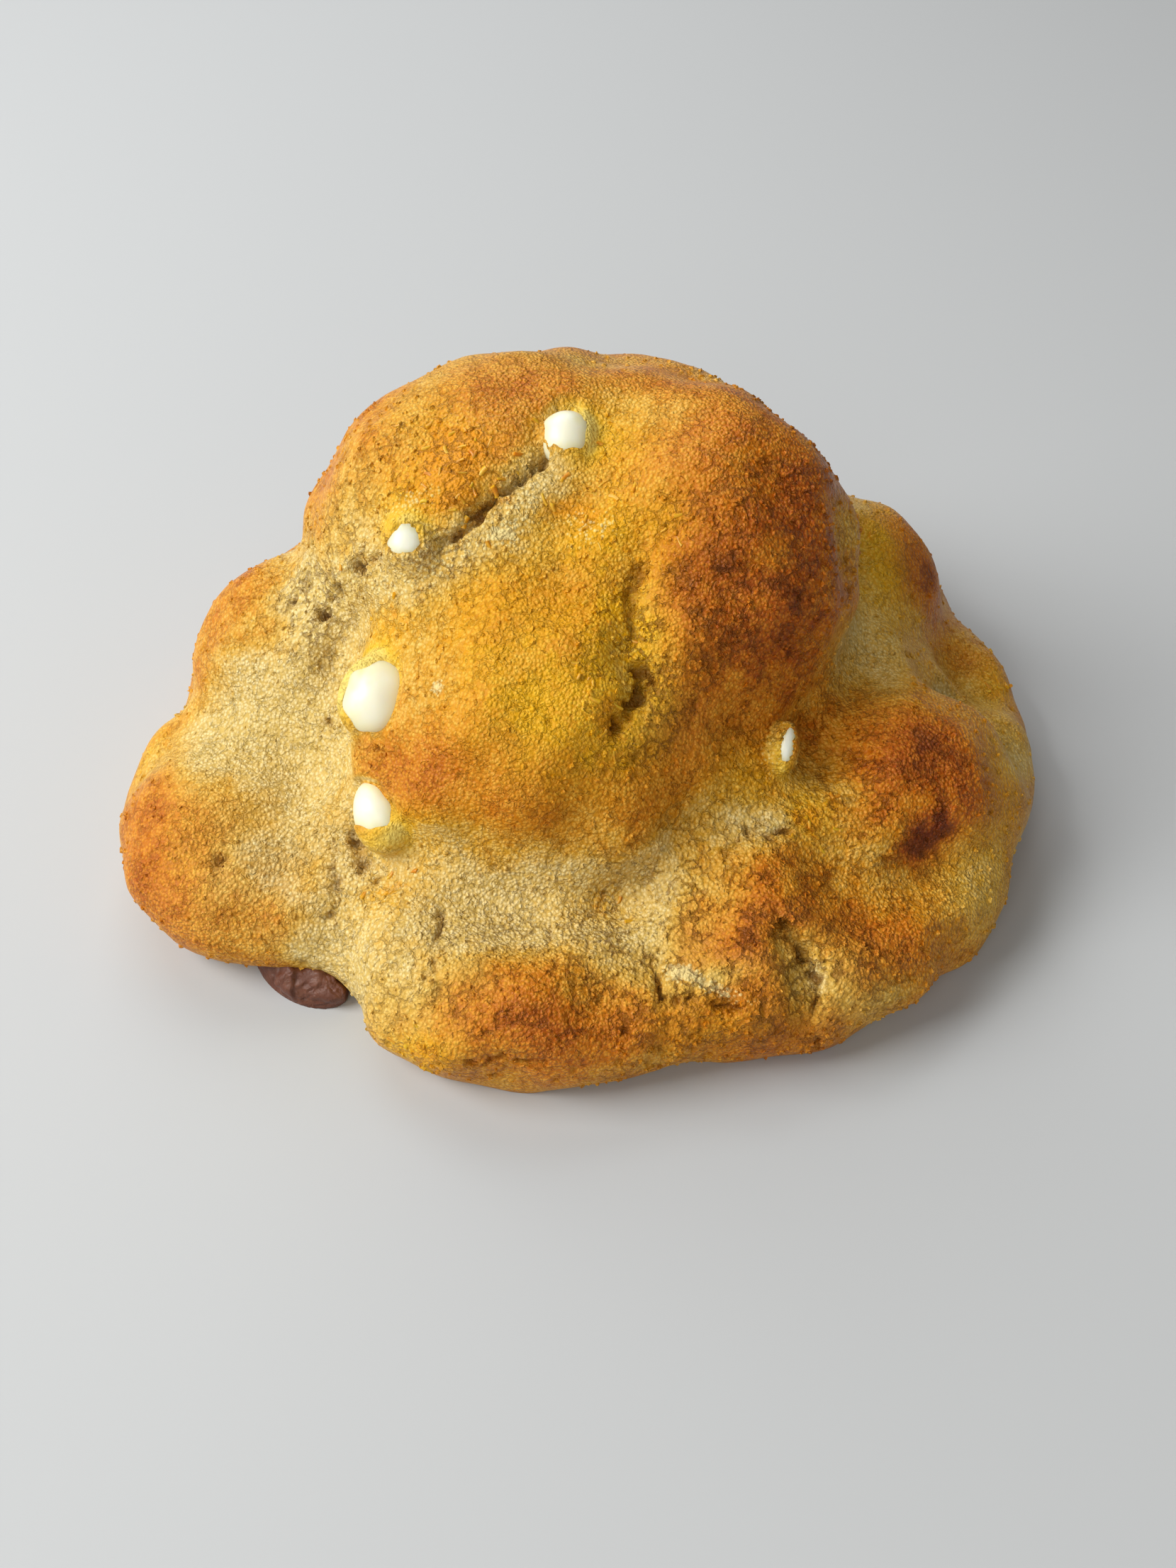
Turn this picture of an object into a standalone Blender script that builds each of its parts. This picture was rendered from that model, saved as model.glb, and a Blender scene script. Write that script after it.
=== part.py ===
"""A lemon cheesecake stuffed cookie: one tall baked mound of dough with white chocolate chips and a leak of filling.

The mound is a smooth union of dough lumps on a rounded base slab, less its hollows and splits. Its surface is
found along straight lines from the middle of the resting face, so the solid is one closed body with a flat foot.
Lengths are in millimetres and become metres as each mesh is made. +X is right, +Y is back, +Z is up, and the
origin is the middle of the resting face.
"""

import math

import bmesh
import bpy
import numpy as np
from mathutils import Euler

MM = 0.001

# Driving sizes of the baked cookie.
WIDTH = 110.0
DEPTH = 97.0
SLAB_THICKNESS = 11.5
FIT_GAP = 0.3

# How many cells the dough's surface has from side to side, and how fine a chip is.
SURFACE_CELLS = 64
CHIP_SUBDIVISIONS = 3
LEAK_SUBDIVISIONS = 3

# How softly lumps of dough run into each other, in millimetres.
LUMP_BLEND = 2.6

# Lobes and dents of the slab's outline, each as its bearing in degrees, how far it stands out, and its half width
# in degrees. A bearing of 0 is +X and one of 90 is +Y, the back.
OUTLINE_LOBES = {
    "left_lobe": (211, 2.5, 10),
    "front_left_notch": (235, -6.0, 11),
    "front_notch": (286, -1.0, 8),
    "front_right_lobe": (305, 1.5, 12),
    "right_back_lobe": (15, -1.5, 16),
    "right_dent": (345, -2.0, 13),
    "back_right_dent": (52, -2.5, 12),
    "back_lobe": (84, 2.0, 18),
    "back_left_dent": (116, -2.5, 11),
    "left_back_lobe": (142, 1.5, 14),
    "left_dent": (176, -5.0, 11),
}

# Lumps of dough, each as its centre and its three radii.
LUMPS = {
    "core": ((1, 1, 4), (41, 37, 27)),
    "crown_left": ((-11.5, 6, 31.5), (19.5, 18, 19.5)),
    "crown_back": ((2, 11, 29), (21, 18, 20)),
    "crown_right": ((12.5, 0.5, 27.5), (18.5, 20, 23)),
    "front_face": ((-5, -15, 20), (19, 16, 19)),
    "left_lobe": ((-40, -15, 8), (12, 13, 9)),
    "left_shoulder": ((-32, 2, 14), (14.5, 15, 15.5)),
    "front_rim": ((-7, -37, 5), (17, 10, 8)),
    "front_right_knob": ((16, -31, 6), (13, 10, 11)),
    "right_bulge": ((33, -13, 10), (15, 15, 13)),
    "right_hill": ((31.5, 17, 11), (13, 15, 15.5)),
    "back_right_hill": ((18, 31, 8), (17, 13, 17)),
    "back_left_hill": ((-19, 30, 8), (16, 13, 18)),
}

# Hollows and splits, each as the points that it runs through, how far it reaches on both sides, and how deep it
# presses the surface in.
HOLLOWS = {
    "front_hollow": (((-8, -34, 15), (4, -33, 14), (10, -33, 15)), 6.5, 2.4),
    "right_valley": (((30, 4, 26), (30, -8, 24), (25, -17, 22)), 6, 2.4),
    "right_eye": (((41, -4, 19),), 3.5, 4.0),
    "right_pit": (((38, -28, 15),), 4, 2.2),
    "left_valley": (((-47, -8, 16), (-39, -12, 18), (-31, -18, 17)), 5.5, 2.0),
    "crown_split": (((-28, -7, 31), (-23, -8, 39), (-14, -10, 43), (-9, -7, 46), (-4, -4, 49), (-4, 0, 50)), 1.8, 1.3),
    "face_split": (((5, -12, 43), (4, -15, 40), (4, -21, 36), (5, -23, 33), (3, -26, 32)), 1.8, 0.9),
    "chip_side": (((-25, -8, 31), (-28, -9, 26), (-27, -14, 22), (-26, -23, 19), (-22, -30, 14)), 2.4, 0.8),
    "front_right_split": (((19, -39, 16), (22, -40, 13), (22, -42, 11), (22, -45, 7)), 1.8, 1.2),
    "leak_undercut": (((-37, -30, -1), (-31, -35, -1)), 4.2, 2.6),
    "front_split": (((7, -41, 13), (8, -46, 10), (7, -49, 5)), 1.8, 0.8),
}

# White chocolate chips, each as its centre, its three radii, and how it is turned about X, Y and Z in degrees.
CHIPS = {
    "chip_top": ((-2.2, 0.6, 47.9), (3.1, 3.6, 2.6), (0, 0, 0)),
    "chip_upper_left": ((-18.4, -7.6, 40.9), (2.8, 2.8, 3.3), (-45, -20, 0)),
    "chip_left": ((-22.0, -16.6, 27.2), (4.0, 3.8, 4.7), (-45, 0, 0)),
    "chip_lower_left": ((-21.8, -25.3, 18.0), (3.0, 3.0, 4.1), (-45, -35, 0)),
    "chip_right": ((20.8, -20.6, 23.5), (1.3, 1.6, 2.7), (-45, 12, 0)),
}

# How much narrower a chip is at its pointed upper end than at its round lower end.
CHIP_TAPER = 0.22

# The filling that ran out under the dough's rim: a point inside it, its centre, its radii, and its turn about Z.
LEAK_START = (-33.4, -33.8, 1.0)
LEAK_CENTRE = (-31.6, -32.4, 1.4)
LEAK_RADII = (7.0, 3.9, 3.2)
LEAK_TURN = -38.0
LEAK_CLEARANCE = 0.9

# Unevenness of the dough: how high its waves are, how long, and how many are added up.
WAVE_HEIGHT = 0.4
WAVE_LENGTHS = (18.0, 10.0)
WAVE_COUNT = 14
WAVE_SEED = 5


def ellipsoid_distance(points, centre, radii):
    """About how far each point is outside an ellipsoid, and negative inside it."""
    offset = points - np.array(centre, float)
    share = np.linalg.norm(offset / radii, axis=1)
    slope = np.linalg.norm(offset / np.square(radii), axis=1)
    return share * (share - 1) / np.maximum(slope, 1e-6)


def outline_radius(bearing):
    """The slab's radius at a bearing in radians: an ellipse with lobes and dents."""
    radius = 1 / np.hypot(np.cos(bearing) / (WIDTH / 2), np.sin(bearing) / (DEPTH / 2))
    for place, height, half_width in OUTLINE_LOBES.values():
        turn = np.angle(np.exp(1j * (bearing - math.radians(place))))
        radius = radius + height * np.exp(-np.square(turn / math.radians(half_width)))
    return radius


def slab_distance(points):
    """About how far each point is outside the base slab, whose edge is round."""
    edge = SLAB_THICKNESS / 2
    outward = np.hypot(points[:, 0], points[:, 1])
    outward = outward - outline_radius(np.arctan2(points[:, 1], points[:, 0])) + edge
    upward = points[:, 2] - edge
    return np.hypot(np.maximum(outward, 0), upward) - edge


def path_distance(points, path):
    """How far each point is from a path of straight stretches, or from its only point."""
    corners = np.array(path, float)
    nearest = np.linalg.norm(points - corners[0], axis=1)
    for start, end in zip(corners[:-1], corners[1:]):
        along = np.clip((points - start) @ (end - start) / np.dot(end - start, end - start), 0, 1)
        nearest = np.minimum(nearest, np.linalg.norm(points - start - along[:, None] * (end - start), axis=1))
    return nearest


def waves(points, length, seed):
    """Smooth unevenness between about -1 and 1, from plane waves in random directions."""
    random = np.random.default_rng(seed)
    directions = random.normal(size=(WAVE_COUNT, 3))
    directions /= np.linalg.norm(directions, axis=1)[:, None]
    directions *= 2 * math.pi / length * random.uniform(0.7, 1.3, (WAVE_COUNT, 1))
    phases = random.uniform(0, 2 * math.pi, WAVE_COUNT)
    return np.sin(points @ directions.T + phases).sum(axis=1) / math.sqrt(WAVE_COUNT)


def dough_distance(points):
    """About how far each point is outside the dough."""
    distances = [slab_distance(points)]
    distances += [ellipsoid_distance(points, *lump) for lump in LUMPS.values()]
    blended = -LUMP_BLEND * np.logaddexp.reduce(-np.array(distances) / LUMP_BLEND, axis=0)
    for path, reach, depth in HOLLOWS.values():
        blended += depth * np.exp(-np.square(path_distance(points, path) / reach))
    for number, length in enumerate(WAVE_LENGTHS):
        blended += WAVE_HEIGHT * waves(points, length, WAVE_SEED + number)
    return blended


def surface_along(distance, start, directions, furthest=80.0, step=1.0, halvings=16):
    """The outermost point of a surface along each direction from a start inside it."""
    inner = np.zeros(len(directions))
    for reach in np.arange(step, furthest, step):
        inner[distance(start + directions * reach) < 0] = reach
    low, high = inner, inner + step
    for _ in range(halvings):
        middle = (low + high) / 2
        inside = distance(start + directions * middle[:, None]) < 0
        low, high = np.where(inside, middle, low), np.where(inside, high, middle)
    return start + directions * low[:, None]


def dome_directions(cells):
    """Directions over the upper half sphere, from a square grid pressed into a disc."""
    line = np.linspace(-1, 1, cells + 1)
    across, along = np.meshgrid(line, line)
    size = np.maximum(np.abs(across), np.abs(along))
    steep = np.abs(along) > np.abs(across)
    long_side = np.where(steep, along, across)
    short_side = np.where(steep, across, along)
    share = np.divide(short_side, long_side, out=np.zeros_like(size), where=size > 0)
    turn = math.pi / 4 * share
    bearing = np.where(steep, math.pi / 2 - turn, turn) + np.where(long_side < 0, math.pi, 0)
    from_top = size * math.pi / 2
    return np.stack(
        [np.cos(bearing) * np.sin(from_top), np.sin(bearing) * np.sin(from_top), np.cos(from_top)],
        axis=-1,
    ).reshape(-1, 3)


def new_object(name, mesh, material):
    """A finished object in the scene, with its one material."""
    thing = bpy.data.objects.new(name, mesh)
    bpy.context.scene.collection.objects.link(thing)
    thing.data.materials.append(material)
    return thing


def baked_material(name, colour, roughness):
    """A plain food surface of one colour."""
    material = bpy.data.materials.new(name)
    material.use_nodes = True
    surface = material.node_tree.nodes["Principled BSDF"]
    surface.inputs["Base Color"].default_value = (*colour, 1)
    surface.inputs["Roughness"].default_value = roughness
    return material


def make_dough(material):
    """The mound of dough: a grid of surface points over the dome and one flat face under it."""
    directions = dome_directions(SURFACE_CELLS)
    points = surface_along(dough_distance, np.zeros(3), directions)
    row = SURFACE_CELLS + 1
    index = np.arange(row * row).reshape(row, row)
    points[np.r_[index[0], index[-1], index[:, 0], index[:, -1]], 2] = 0
    foot = [*index[0, :-1], *index[:-1, -1], *index[-1, :0:-1], *index[:0:-1, 0]]
    quads = np.stack([index[:-1, :-1], index[:-1, 1:], index[1:, 1:], index[1:, :-1]], axis=-1)
    mesh = bpy.data.meshes.new("cookie")
    mesh.from_pydata((points * MM).tolist(), [], [*quads.reshape(-1, 4).tolist(), foot[::-1]])
    mesh.shade_smooth()
    return new_object("cookie", mesh, material)


def ball(name, subdivisions, place):
    """A closed mesh from a round ball, each of whose points is moved by a function."""
    shape = bmesh.new()
    bmesh.ops.create_icosphere(shape, subdivisions=subdivisions, radius=1)
    placed = place(np.array([point.co for point in shape.verts]))
    for point, position in zip(shape.verts, placed):
        point.co = position * MM
    bmesh.ops.recalc_face_normals(shape, faces=shape.faces)
    mesh = bpy.data.meshes.new(name)
    shape.to_mesh(mesh)
    shape.free()
    mesh.shade_smooth()
    return mesh


def chip_mesh(name, chip, extra=0.0):
    """A drop-shaped chip, pointed upward before it is turned, with some extra all round."""
    centre, radii, turn = chip
    rotation = np.array(Euler([math.radians(angle) for angle in turn]).to_matrix())

    def place(points):
        sizes = np.array(radii) + extra
        taper = 1 - CHIP_TAPER * points[:, 2:]
        return centre + (points * sizes * np.hstack([taper, taper, np.ones_like(taper)])) @ rotation.T

    return ball(name, CHIP_SUBDIVISIONS, place)


def make_chips(material):
    """The chips, and the cutters that leave each one a pocket in the dough."""
    pockets = bpy.data.collections.new("chip_pockets")
    bpy.context.scene.collection.children.link(pockets)
    for name, chip in CHIPS.items():
        new_object(name, chip_mesh(name, chip), material)
        pocket = bpy.data.objects.new(name + "_pocket", chip_mesh(name + "_pocket", chip, FIT_GAP))
        pocket.hide_render = True
        pocket.display_type = "WIRE"
        pockets.objects.link(pocket)
    return pockets


def leak_distance(points):
    """About how far each point is outside the leak, which keeps clear of the dough over it."""
    turn = math.radians(LEAK_TURN)
    offset = points - np.array(LEAK_CENTRE)
    along = offset[:, 0] * math.cos(turn) + offset[:, 1] * math.sin(turn)
    across = offset[:, 1] * math.cos(turn) - offset[:, 0] * math.sin(turn)
    lump = ellipsoid_distance(np.stack([along, across, offset[:, 2]], axis=1), (0, 0, 0), LEAK_RADII)
    return np.maximum.reduce([lump, LEAK_CLEARANCE - dough_distance(points), -points[:, 2]])


def make_leak(material):
    """The caramelised filling, which lies on the floor in a notch of the dough's rim."""

    def place(directions):
        return surface_along(leak_distance, np.array(LEAK_START), directions, furthest=14.0, step=0.2)

    return new_object("filling_leak", ball("filling_leak", LEAK_SUBDIVISIONS, place), material)


def main():
    for old in list(bpy.data.objects):
        bpy.data.objects.remove(old)
    dough = make_dough(baked_material("baked_dough", (0.72, 0.44, 0.15), 0.6))
    pockets = make_chips(baked_material("white_chocolate", (0.93, 0.87, 0.68), 0.4))
    make_leak(baked_material("caramelised_filling", (0.30, 0.12, 0.07), 0.35))
    cut = dough.modifiers.new("chip_pockets", "BOOLEAN")
    cut.operation = "DIFFERENCE"
    cut.solver = "EXACT"
    cut.operand_type = "COLLECTION"
    cut.collection = pockets


main()
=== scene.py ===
"""A lemon cheesecake stuffed cookie on a pale floor: baked dough with a crumbly crust, white chocolate chips,
zest, crumbs and a lump of filling that ran out. Shapes are worked out in millimetres, then made in metres."""

import math

import bmesh
import bpy
import numpy as np
from mathutils import Euler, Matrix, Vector, noise


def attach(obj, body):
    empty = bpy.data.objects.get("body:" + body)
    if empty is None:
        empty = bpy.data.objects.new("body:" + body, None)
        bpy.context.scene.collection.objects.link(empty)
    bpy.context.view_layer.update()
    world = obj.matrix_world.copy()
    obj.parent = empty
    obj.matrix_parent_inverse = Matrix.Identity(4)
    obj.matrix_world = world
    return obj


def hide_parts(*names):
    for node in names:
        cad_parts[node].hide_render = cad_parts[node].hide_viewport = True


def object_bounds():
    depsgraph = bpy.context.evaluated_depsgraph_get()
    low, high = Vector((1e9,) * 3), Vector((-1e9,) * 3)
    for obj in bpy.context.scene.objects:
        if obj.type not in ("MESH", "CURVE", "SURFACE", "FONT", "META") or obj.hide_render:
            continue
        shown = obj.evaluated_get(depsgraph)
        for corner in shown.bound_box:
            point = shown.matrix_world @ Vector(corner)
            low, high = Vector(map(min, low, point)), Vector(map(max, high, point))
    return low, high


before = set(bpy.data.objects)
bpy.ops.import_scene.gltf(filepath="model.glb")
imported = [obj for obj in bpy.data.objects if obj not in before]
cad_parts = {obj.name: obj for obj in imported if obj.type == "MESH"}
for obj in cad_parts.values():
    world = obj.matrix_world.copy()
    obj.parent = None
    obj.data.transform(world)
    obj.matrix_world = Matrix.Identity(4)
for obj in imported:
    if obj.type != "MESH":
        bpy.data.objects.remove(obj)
CAD_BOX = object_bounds()
MM = 0.001

# Camera and studio. The camera stands in front of the cookie and looks down on it at 45 degrees. A big soft
# light hangs high on the left, a second one high behind gives the top its sheen, a weak one fills from the
# front, and the floor is plain and pale.
CAMERA_ELEVATION = math.radians(45)
CAMERA_DISTANCE = 190.43
CAMERA_TARGET = np.array([0.0, -2.463, 0.0])
LENS = 35.0
SENSOR = 36.0
PHOTO_WIDTH = 1659
PHOTO_HEIGHT = 2212
LOOK = np.array([0.0, math.cos(CAMERA_ELEVATION), -math.sin(CAMERA_ELEVATION)])
PICTURE_RIGHT = np.array([1.0, 0.0, 0.0])
PICTURE_UP = np.cross(PICTURE_RIGHT, LOOK)
EYE = CAMERA_TARGET - CAMERA_DISTANCE * LOOK
FOCAL_PIXELS = LENS / SENSOR * PHOTO_HEIGHT
FLOOR_SIZE = 3.0
FLOOR_PAINT = (196, 199, 201)
FLOOR_ROUGHNESS = 0.85
SKY_COLOUR = (1.0, 0.97, 0.92, 1.0)
SKY_STRENGTH = 0.16
# The lights, each as its place in metres, its size, its power and its colour.
LIGHTS = {
    "key_light": ((-0.50, -0.10, 0.44), 0.42, 4.5, (1.0, 0.99, 0.97)),
    "back_light": ((-0.18, 0.52, 0.50), 0.55, 2.2, (1.0, 1.0, 1.0)),
    "front_light": ((-0.15, -0.66, 0.52), 0.45, 1.6, (1.0, 0.98, 0.94)),
}


def add(name, data):
    """A new object at the origin, in the scene."""
    thing = bpy.data.objects.new(name, data)
    bpy.context.scene.collection.objects.link(thing)
    return thing


def srgb(red, green, blue):
    """A colour given as 0 to 255 on a screen, as the values that a shader takes."""
    shares = (channel / 255 for channel in (red, green, blue))
    linear = [share / 12.92 if share < 0.04045 else ((share + 0.055) / 1.055) ** 2.4 for share in shares]
    return (*linear, 1.0)


camera_data = bpy.data.cameras.new("camera")
camera_data.lens = LENS
camera_data.sensor_width = SENSOR
camera = add("camera", camera_data)
camera.location = EYE * MM
camera.rotation_euler = (math.pi / 2 - CAMERA_ELEVATION, 0, 0)
bpy.context.scene.camera = camera
bpy.context.scene.view_settings.view_transform = "Standard"


def soft_light(name, place, size, power, colour):
    """A square light at a place in metres, turned to the cookie's middle."""
    lamp = bpy.data.lights.new(name, "AREA")
    lamp.size = size
    lamp.energy = power
    lamp.color = colour
    light = add(name, lamp)
    light.location = place
    light.rotation_euler = Vector(place).to_track_quat("Z", "Y").to_euler()


for name, light in LIGHTS.items():
    soft_light(name, *light)
world = bpy.data.worlds.new("studio")
world.use_nodes = True
sky = world.node_tree.nodes["Background"].inputs
sky["Color"].default_value = SKY_COLOUR
sky["Strength"].default_value = SKY_STRENGTH
bpy.context.scene.world = world

floor_mesh = bpy.data.meshes.new("floor")
half = FLOOR_SIZE / 2
floor_corners = [(-half, -half, 0), (half, -half, 0), (half, half, 0), (-half, half, 0)]
floor_mesh.from_pydata(floor_corners, [], [(0, 1, 2, 3)])
floor_paint = bpy.data.materials.new("pale_floor")
floor_paint.use_nodes = True
floor_finish = floor_paint.node_tree.nodes["Principled BSDF"].inputs
floor_finish["Base Color"].default_value = srgb(*FLOOR_PAINT)
floor_finish["Roughness"].default_value = FLOOR_ROUGHNESS
floor_mesh.materials.append(floor_paint)
floor = add("floor", floor_mesh)

# Cookie dough. One tall mound of soft dough that slumped over its filling as it baked: lumps on a round slab,
# less the hollows and splits between them. Its surface is found along lines from the middle of the underside,
# then roughened with crumb, pores and torn edges.
SLAB_WIDTH = 110.0
SLAB_DEPTH = 97.0
SLAB_THICKNESS = 11.5
LUMP_BLEND = 2.6
SURFACE_CELLS = 306
FIRST_CELLS = 72
FIRST_REACH = 75.0
FIRST_STEPS = 70
LAST_LEAD = 1.5
LAST_STEPS = 14
FRONT_SHARE = 0.16
VIEW_START = 90.0
VIEW_STEPS = 80
RAISED_REACH = 5
FOOT_HEIGHT = 4
# Where the slab's edge bulges or dents: its bearing in degrees, its height, and its half width in degrees.
OUTLINE_LOBES = {
    "left_lobe": (211, 2.5, 10),
    "front_left_notch": (235, -6.0, 11),
    "front_notch": (286, -1.0, 8),
    "front_right_lobe": (305, 1.5, 12),
    "right_back_lobe": (15, -1.5, 16),
    "right_dent": (345, -2.0, 13),
    "back_right_dent": (52, -2.5, 12),
    "back_lobe": (84, 2.0, 18),
    "back_left_dent": (116, -2.5, 11),
    "left_back_lobe": (142, 1.5, 14),
    "left_dent": (176, -5.0, 11),
}
# The lumps, each as the centre and radii of an ellipsoid.
LUMPS = {
    "core": ((1, 1, 4), (41, 37, 27)),
    "crown_left": ((-11.5, 6, 31.5), (19.5, 18, 19.5)),
    "crown_back": ((2, 11, 29), (21, 18, 20)),
    "crown_right": ((12.5, 0.5, 27.5), (18.5, 20, 23)),
    "front_face": ((-5, -15, 20), (19, 16, 19)),
    "left_lobe": ((-40, -15, 8), (12, 13, 9)),
    "left_shoulder": ((-32, 2, 14), (14.5, 15, 15.5)),
    "front_rim": ((-7, -37, 5), (17, 10, 8)),
    "front_right_knob": ((16, -31, 6), (13, 10, 11)),
    "right_bulge": ((33, -13, 10), (15, 15, 13)),
    "right_hill": ((31.5, 17, 11), (13, 15, 15.5)),
    "back_right_hill": ((18, 31, 8), (17, 13, 17)),
    "back_left_hill": ((-19, 30, 8), (16, 13, 18)),
}
# The hollows and splits, each as the path that it follows, its half width and its depth.
HOLLOWS = {
    "front_hollow": (((-8, -34, 15), (4, -33, 14), (10, -33, 15)), 6.5, 2.4),
    "right_valley": (((30, 4, 26), (30, -8, 24), (25, -17, 22)), 6, 2.4),
    "right_eye": (((41, -4, 19),), 3.5, 4.0),
    "right_pit": (((38, -28, 14),), 4.4, 3.6),
    "left_valley": (((-47, -8, 16), (-39, -12, 18), (-31, -18, 17)), 5.5, 2.0),
    "crown_split": (((-28, -7, 31), (-23, -8, 39), (-14, -10, 43), (-9, -7, 46), (-4, -4, 49), (-4, 0, 50)),
                    1.8, 1.3),
    "face_split": (((5, -12, 43), (4, -15, 40), (4, -21, 36), (5, -23, 33), (3, -26, 32)), 1.8, 0.9),
    "chip_side": (((-25, -8, 31), (-28, -9, 26), (-27, -14, 22), (-26, -23, 19), (-22, -30, 14)), 2.4, 0.8),
    "front_right_split": (((19, -39, 16), (22, -40, 13), (22, -42, 11), (22, -45, 7)), 1.8, 1.2),
    "leak_undercut": (((-37, -30, -1), (-31, -35, -1)), 4.2, 2.6),
    "front_split": (((7, -41, 13), (8, -46, 10), (7, -49, 5)), 1.8, 0.8),
    "crown_side": (((28, -4, 40), (29, -10, 35), (27, -12, 28), (25, -16, 23), (22, -23, 21)), 3.2, 1.5),
}
WAVE_HEIGHT = 0.4
WAVE_LENGTHS = (18.0, 10.0)
WAVE_COUNT = 14
WAVE_SEED = 5

# The chips that sit in the dough, each as its centre, its radii and its turn in degrees. A thin film of dough
# covers a chip but for a window, given as the photograph's pixel at its middle, its half sizes in pixels and
# its tilt in degrees. The film shows yellow on the side given last, as how far right and how far up it lies.
CHIP_TAPER = 0.1
CHIPS = {
    "chip_top": ((-2.2, 0.6, 47.9), (3.1, 3.6, 2.6), (0, 0, 0)),
    "chip_upper_left": ((-18.4, -7.6, 40.9), (2.8, 2.8, 3.3), (-45, -20, 0)),
    "chip_left": ((-21.9, -16.6, 27.0), (4.4, 3.9, 4.6), (-45, 0, 0)),
    "chip_lower_left": ((-21.8, -25.3, 18.0), (3.0, 3.0, 4.1), (-45, -35, 0)),
    "chip_right": ((20.8, -20.6, 23.5), (1.3, 1.6, 2.7), (-45, 12, 0)),
}
FILM_THICKNESS = 0.2
WINDOW_DEPTH = 0.8
LIP_WIDTH = 1.1
FILM_REACH = 1.3
SEAT_EDGE = 0.3
WINDOWS = {
    "chip_top": (797, 602, 33, 37, 10, (1.0, 0.2)),
    "chip_upper_left": (571, 762, 26, 22, 10, (0.1, 1.0)),
    "chip_left": (530, 984, 48, 60, -24, (-0.8, 0.7)),
    "chip_lower_left": (521, 1137, 34, 40, 20, (0.7, -0.8)),
    "chip_right": (1111, 1050, 8, 29, -10, (-1.0, -0.4)),
}
SCOOP_EDGE = 0.5
# Pits with steep walls, each as the centre and radii of what is scooped out.
SCOOPS = {
    "right_eye": ((43.6, -4.2, 17.2), (3.4, 3.9, 4.0)),
    "right_pit": ((39.6, -29.4, 15.0), (4.4, 3.4, 3.2)),
    "under_lower_chip": ((-25.2, -30.0, 15.6), (1.6, 1.8, 1.8)),
    "beside_upper_chip": ((-22.3, -6.6, 41.2), (0.9, 1.1, 1.3)),
    "under_top_chip": ((-4.0, -3.3, 48.4), (0.9, 1.3, 1.3)),
    "left_hole": ((-28.4, -9.0, 26.0), (0.8, 1.2, 1.2)),
    "front_hole": ((20.4, -38.9, 14.6), (1.2, 1.0, 1.5)),
}


def ellipsoid_distance(points, centre, radii):
    """About how far each point is outside an ellipsoid, and negative inside it."""
    offset = points - np.array(centre, float)
    share = np.linalg.norm(offset / radii, axis=1)
    slope = np.linalg.norm(offset / np.square(radii), axis=1)
    return share * (share - 1) / np.maximum(slope, 1e-6)


def slab_distance(points):
    """About how far each point is outside the lobed slab, whose edge is round."""
    bearing = np.arctan2(points[:, 1], points[:, 0])
    radius = 1 / np.hypot(np.cos(bearing) / (SLAB_WIDTH / 2), np.sin(bearing) / (SLAB_DEPTH / 2))
    for place, height, half_width in OUTLINE_LOBES.values():
        turn = np.angle(np.exp(1j * (bearing - math.radians(place))))
        radius = radius + height * np.exp(-np.square(turn / math.radians(half_width)))
    edge = SLAB_THICKNESS / 2
    outward = np.hypot(points[:, 0], points[:, 1]) - radius + edge
    return np.hypot(np.maximum(outward, 0), points[:, 2] - edge) - edge


def path_distance(points, path):
    """How far each point is from a path of straight stretches, or from its only point."""
    corners = np.array(path, float)
    nearest = np.linalg.norm(points - corners[0], axis=1)
    for start, end in zip(corners[:-1], corners[1:]):
        along = np.clip((points - start) @ (end - start) / np.dot(end - start, end - start), 0, 1)
        nearest = np.minimum(nearest, np.linalg.norm(points - start - along[:, None] * (end - start), axis=1))
    return nearest


def waves(points, length, seed):
    """Smooth unevenness between about -1 and 1, from plane waves in random directions."""
    random = np.random.default_rng(seed)
    directions = random.normal(size=(WAVE_COUNT, 3))
    directions /= np.linalg.norm(directions, axis=1)[:, None]
    directions *= 2 * math.pi / length * random.uniform(0.7, 1.3, (WAVE_COUNT, 1))
    phases = random.uniform(0, 2 * math.pi, WAVE_COUNT)
    return np.sin(points @ directions.T + phases).sum(axis=1) / math.sqrt(WAVE_COUNT)


def chip_turn(name):
    """A chip's rotation matrix."""
    return np.array(Euler([math.radians(angle) for angle in CHIPS[name][2]]).to_matrix())


def chip_distance(points, name):
    """About how far each point is outside a chip."""
    centre, radii, _ = CHIPS[name]
    local = (points - np.array(centre)) @ chip_turn(name)
    taper = 1 - CHIP_TAPER * np.clip(local[:, 2:] / radii[2], -1, 1)
    local = local / np.hstack([taper, taper, np.ones_like(taper)])
    return ellipsoid_distance(local, (0, 0, 0), radii)


def turned(right, up, tilt):
    """Two coordinates of a plane, along axes that are turned by a tilt in degrees."""
    turn = math.radians(tilt)
    return right * math.cos(turn) + up * math.sin(turn), up * math.cos(turn) - right * math.sin(turn)


def window_share(points, name):
    """How far each point is from the middle of a chip's window in the picture: 1 at its wavy edge."""
    middle_across, middle_down, half_across, half_down, tilt, _ = WINDOWS[name]
    offset = points - EYE
    scale = FOCAL_PIXELS / (offset @ LOOK)
    right = PHOTO_WIDTH / 2 + scale * (offset @ PICTURE_RIGHT) - middle_across
    up = scale * (offset @ PICTURE_UP) - PHOTO_HEIGHT / 2 + middle_down
    along, beside = turned(right, up, tilt)
    along, beside = along / half_across, beside / half_down
    bearing = np.arctan2(beside, along)
    wavy = 1 + 0.07 * np.sin(3 * bearing + 1) + 0.05 * np.sin(7 * bearing + middle_down)
    return np.hypot(along, beside) * wavy


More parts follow.
